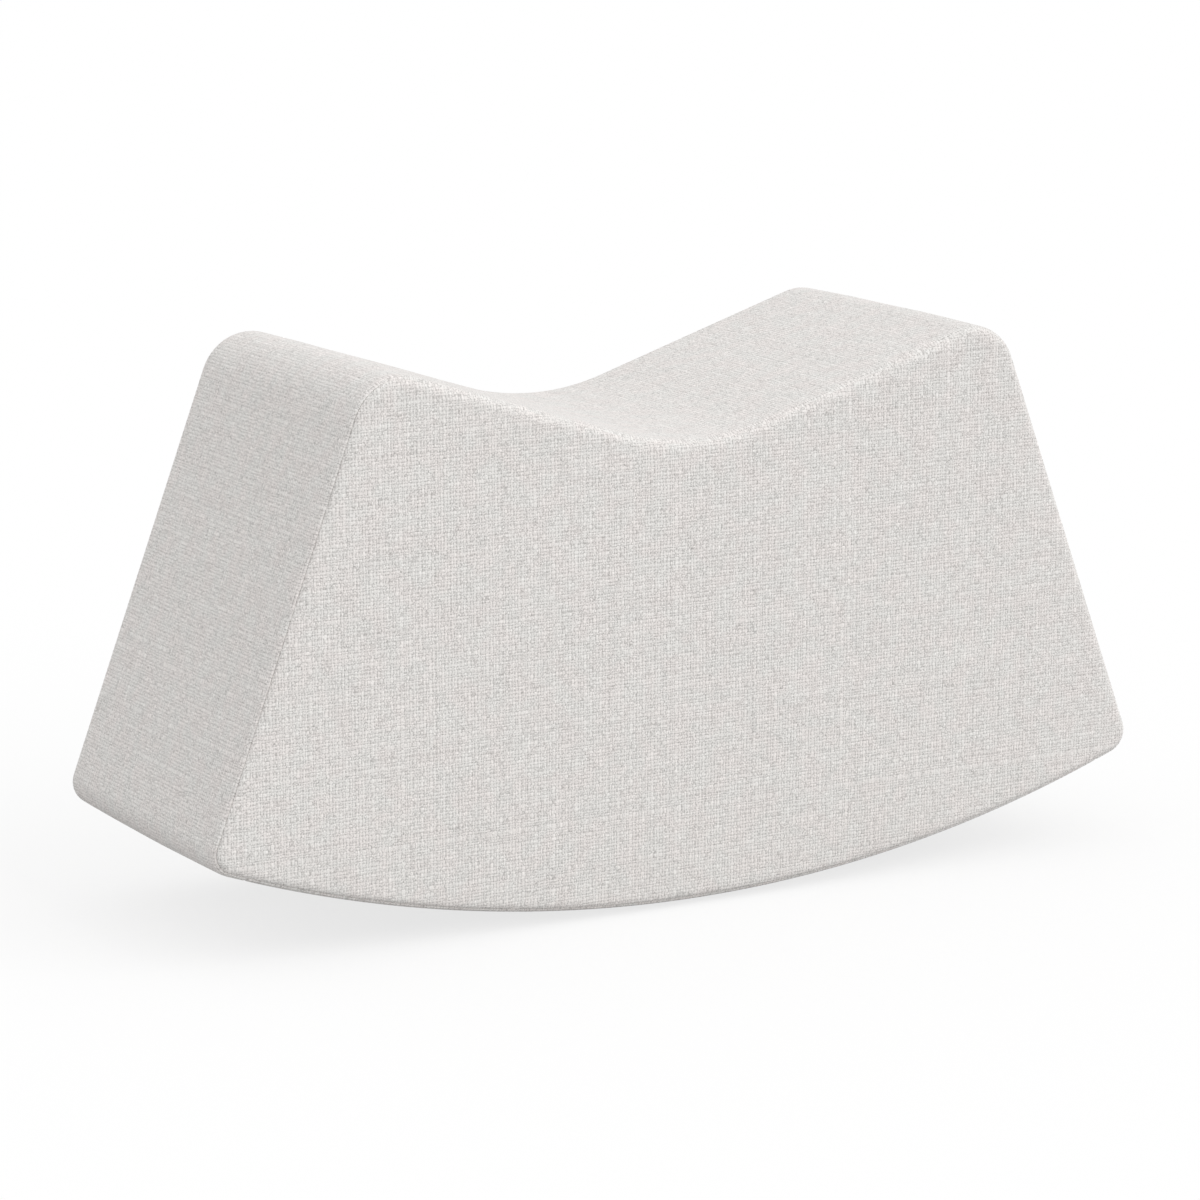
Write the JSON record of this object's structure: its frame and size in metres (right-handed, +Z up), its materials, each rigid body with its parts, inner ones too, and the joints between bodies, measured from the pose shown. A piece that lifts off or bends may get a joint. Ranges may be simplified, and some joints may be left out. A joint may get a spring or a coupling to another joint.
{
  "type": "rocking footstool",
  "caption": "Upholstered rocking footstool with a curved base, leaning ends and a dipped saddle top that cradles the legs; the sewn cover closes with a zip underneath.",
  "frame": {"origin": "on the floor under the middle of the rocker, where the grip strips touch it at rest", "axes": "+X along the way the stool rocks, +Y through its depth towards the back, +Z up"},
  "size_m": [0.6098, 0.2, 0.3244],
  "materials": {
    "cover_cloth": "matte",
    "foam": "matte",
    "wadding": "matte",
    "felt": "matte",
    "plywood": "matte",
    "rail_wood": "matte",
    "staple_steel": "satin",
    "grip_rubber": "matte",
    "zip_tape": "matte",
    "zip_plastic": "satin",
    "slider_metal": "satin"
  },
  "bodies": {
    "root": {"cover_front": "cover_cloth", "cover_back": "cover_cloth", "cover_band": "cover_cloth", "cover_base_front": "cover_cloth", "cover_base_back": "cover_cloth", "face_foam_front": "foam", "face_foam_back": "foam", "wrap_foam": "foam", "saddle_foam": "foam", "wadding_band": "wadding", "rocker_felt": "felt", "side_panel_front": "plywood", "side_panel_back": "plywood", "saddle_deck": "plywood", "rocker_deck": "plywood", "end_board_left": "plywood", "end_board_right": "plywood", "crest_rail_left": "rail_wood", "crest_rail_right": "rail_wood", "toe_rail_left": "rail_wood", "toe_rail_right": "rail_wood", "valley_rail": "rail_wood", "stretcher_left": "rail_wood", "stretcher_middle": "rail_wood", "stretcher_right": "rail_wood", "board_staples": "staple_steel", "rail_staples": "staple_steel", "grip_strip_front": "grip_rubber", "grip_strip_back": "grip_rubber", "zip_tape_front": "zip_tape", "zip_tape_back": "zip_tape", "zip_teeth_front": "zip_plastic", "zip_teeth_back": "zip_plastic", "zip_stops": "zip_plastic"},
    "slider": {"zip_slider": "slider_metal"},
    "pull": {"zip_pull": "slider_metal"}
  },
  "joints": [
    {"name": "zip_slide", "type": "hinge", "parent": "root", "child": "slider", "pos_m": [0, 0, 0.863], "axis": [0, 1, 0], "range_deg": [0, 29.22], "deforming": ["zip_teeth_front", "zip_teeth_back"]},
    {"name": "pull_swing", "type": "hinge", "parent": "slider", "child": "pull", "pos_m": [0.21738, 0, 0.02927], "axis": [0, 1, 0], "range_deg": [-104, 75]}
  ]
}
